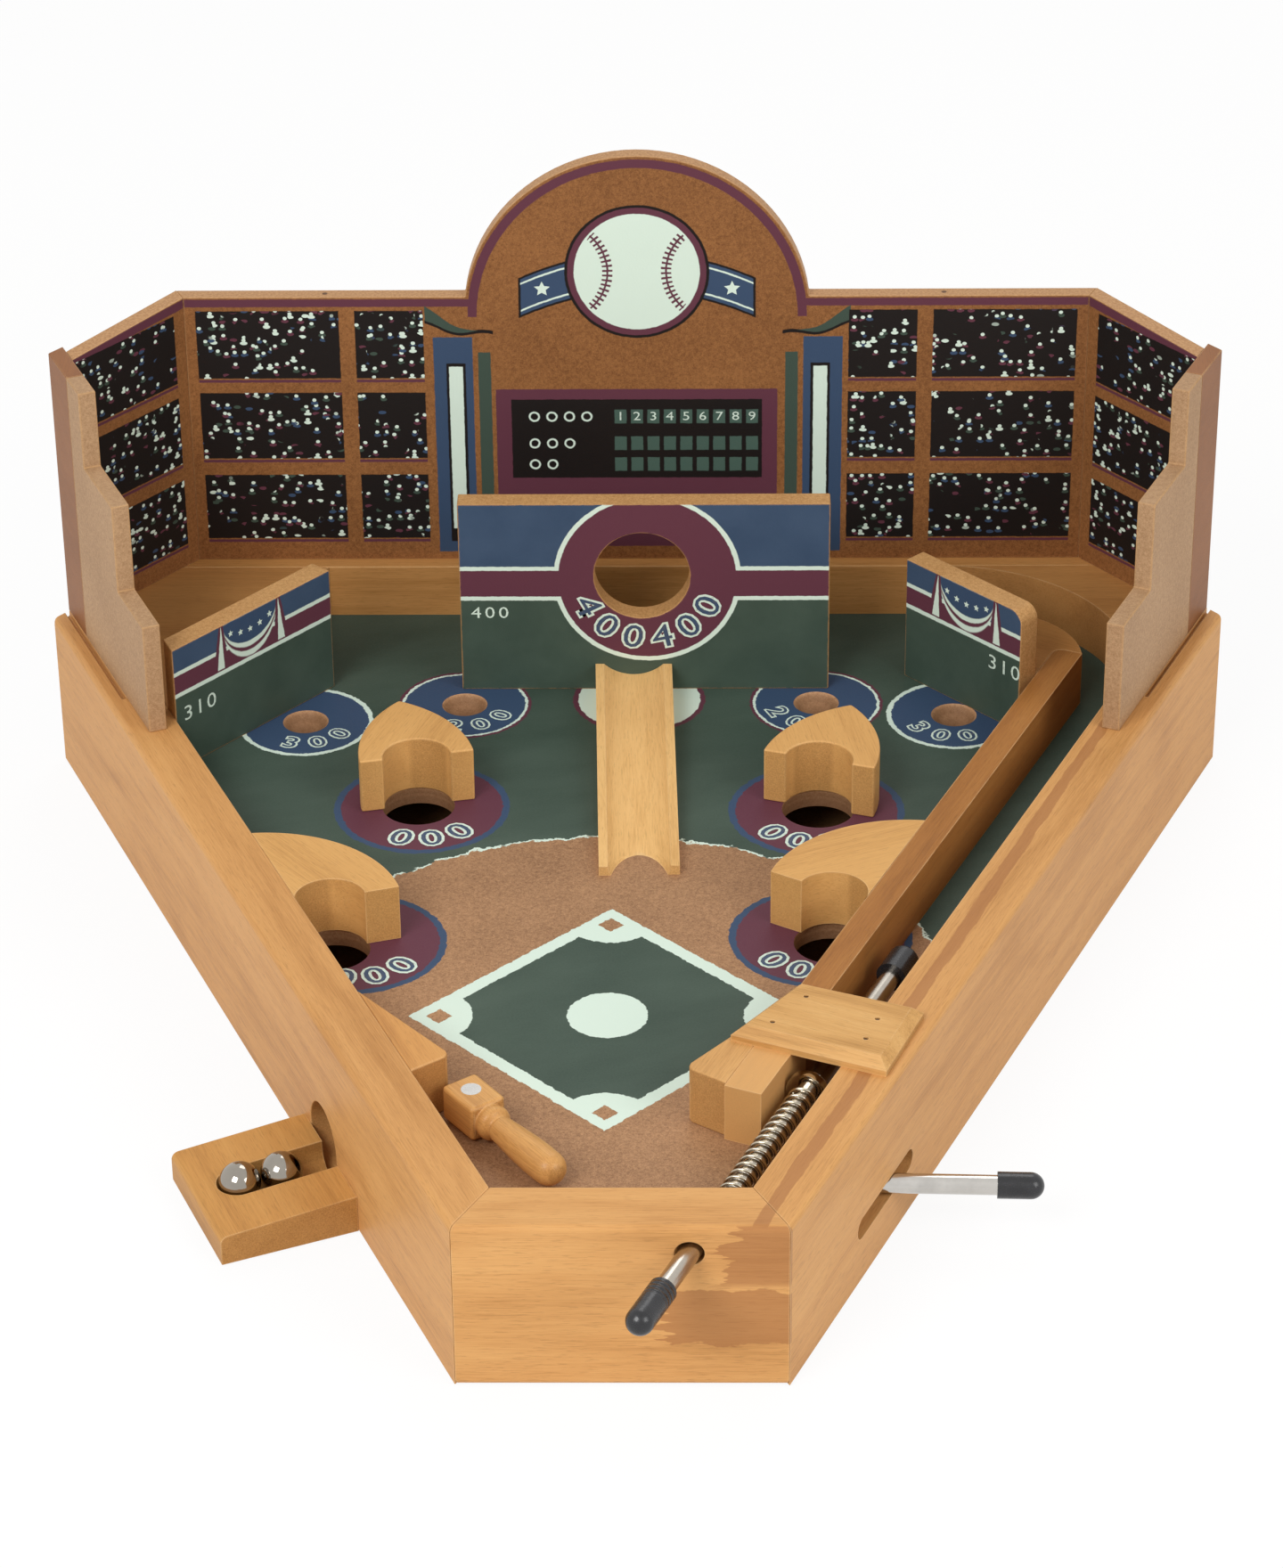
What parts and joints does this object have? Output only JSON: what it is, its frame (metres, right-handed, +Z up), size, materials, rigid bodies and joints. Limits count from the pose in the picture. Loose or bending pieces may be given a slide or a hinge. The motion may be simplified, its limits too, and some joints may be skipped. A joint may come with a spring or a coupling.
{
  "type": "bagatelle board game",
  "caption": "Table-top baseball bagatelle: wooden five-sided case with spring plunger, lever-swung bat, scoring holes, ramp and a printed stadium behind the playfield.",
  "frame": {"origin": "centre of the case's length at its underside, on the left-right middle line", "axes": "+Z up, -Y towards the player and the plunger, +X to the player's right"},
  "size_m": [0.3968, 0.4402, 0.206],
  "materials": {
    "lacquered_wood": "clear satin lacquer",
    "light_wood": "clear satin lacquer",
    "field_print": "screen-printed brown hardboard",
    "fence_print": "screen-printed board",
    "stadium_print": "screen-printed fibreboard",
    "step_board": "bare fibreboard",
    "stile_board": "stained fibreboard",
    "plain_board": "bare board",
    "polished_steel": "polished",
    "plain_steel": "drawn bar",
    "spring_wire": "bright wire",
    "black_rubber": "smooth black"
  },
  "bodies": {
    "case": {"back_panel": "stadium_print", "back_wall": "lacquered_wood", "ball_tray": "lacquered_wood", "bat_bearing": "plain_board", "bottom_board": "plain_board", "bridge_nails": "plain_steel", "bridge_plate": "lacquered_wood", "center_fence": "fence_print", "curved_block": "lacquered_wood", "floor_batten": "plain_board", "front_wall": "lacquered_wood", "lane_rail": "lacquered_wood", "left_cleat": "plain_board", "left_corner_block": "lacquered_wood", "left_deflector": "lacquered_wood", "left_fence": "fence_print", "left_step_panel": "step_board", "left_stile": "stile_board", "left_wall": "lacquered_wood", "left_wing": "stadium_print", "lever_block": "plain_board", "lever_pivot": "plain_steel", "lower_left_guard": "lacquered_wood", "lower_right_guard": "lacquered_wood", "playfield": "field_print", "plunger_spring": "spring_wire", "ramp": "light_wood", "rear_cleat": "plain_board", "return_divider": "plain_board", "return_floor": "plain_board", "right_cleat": "plain_board", "right_corner_block": "lacquered_wood", "right_deflector": "lacquered_wood", "right_fence": "fence_print", "right_step_panel": "step_board", "right_stile": "stile_board", "right_wall": "lacquered_wood", "right_wing": "stadium_print", "spring_washer": "plain_steel", "upper_left_guard": "lacquered_wood", "upper_right_guard": "lacquered_wood"},
    "plunger": {"plunger_rod": "polished_steel", "plunger_knob": "black_rubber", "plunger_collar": "polished_steel", "plunger_tip": "black_rubber"},
    "bat": {"bat": "light_wood", "bat_shaft": "polished_steel", "bat_crank": "plain_steel", "crank_pin": "plain_steel", "bat_spring": "spring_wire"},
    "lever": {"lever_rod": "plain_steel", "lever_cap": "black_rubber", "lever_hub": "plain_steel", "lever_fork": "plain_steel"},
    "ball_1": {"ball_1": "polished_steel"},
    "ball_2": {"ball_2": "polished_steel"}
  },
  "joints": [
    {"name": "plunger_slide", "type": "slide", "parent": "case", "child": "plunger", "axis": [-0.3972, -0.9177, 0], "range_m": [0, 0.025], "stiffness_N_per_m": 300, "deforming": ["plunger_spring"]},
    {"name": "lever_swing", "type": "hinge", "parent": "case", "child": "lever", "pos_m": [0.026, -0.1289, 0.0183], "axis": [0, 0, 1], "range_deg": [-26, 0], "stiffness_Nm_per_rad": 0.05},
    {"name": "bat_swing", "type": "hinge", "parent": "case", "child": "bat", "pos_m": [-0.0447, -0.1256, 0.0425], "axis": [0, 0, 1], "range_deg": [0, 90]},
    {"name": "ball_1_lift", "type": "slide", "parent": "case", "child": "ball_1", "axis": [0, 0, 1], "range_m": [0, 0.06]},
    {"name": "ball_2_lift", "type": "slide", "parent": "case", "child": "ball_2", "axis": [0, 0, 1], "range_m": [0, 0.06]}
  ],
  "couplings": [
    {"joint": "bat_swing", "follows": "lever_swing", "ratio": -3.417}
  ]
}
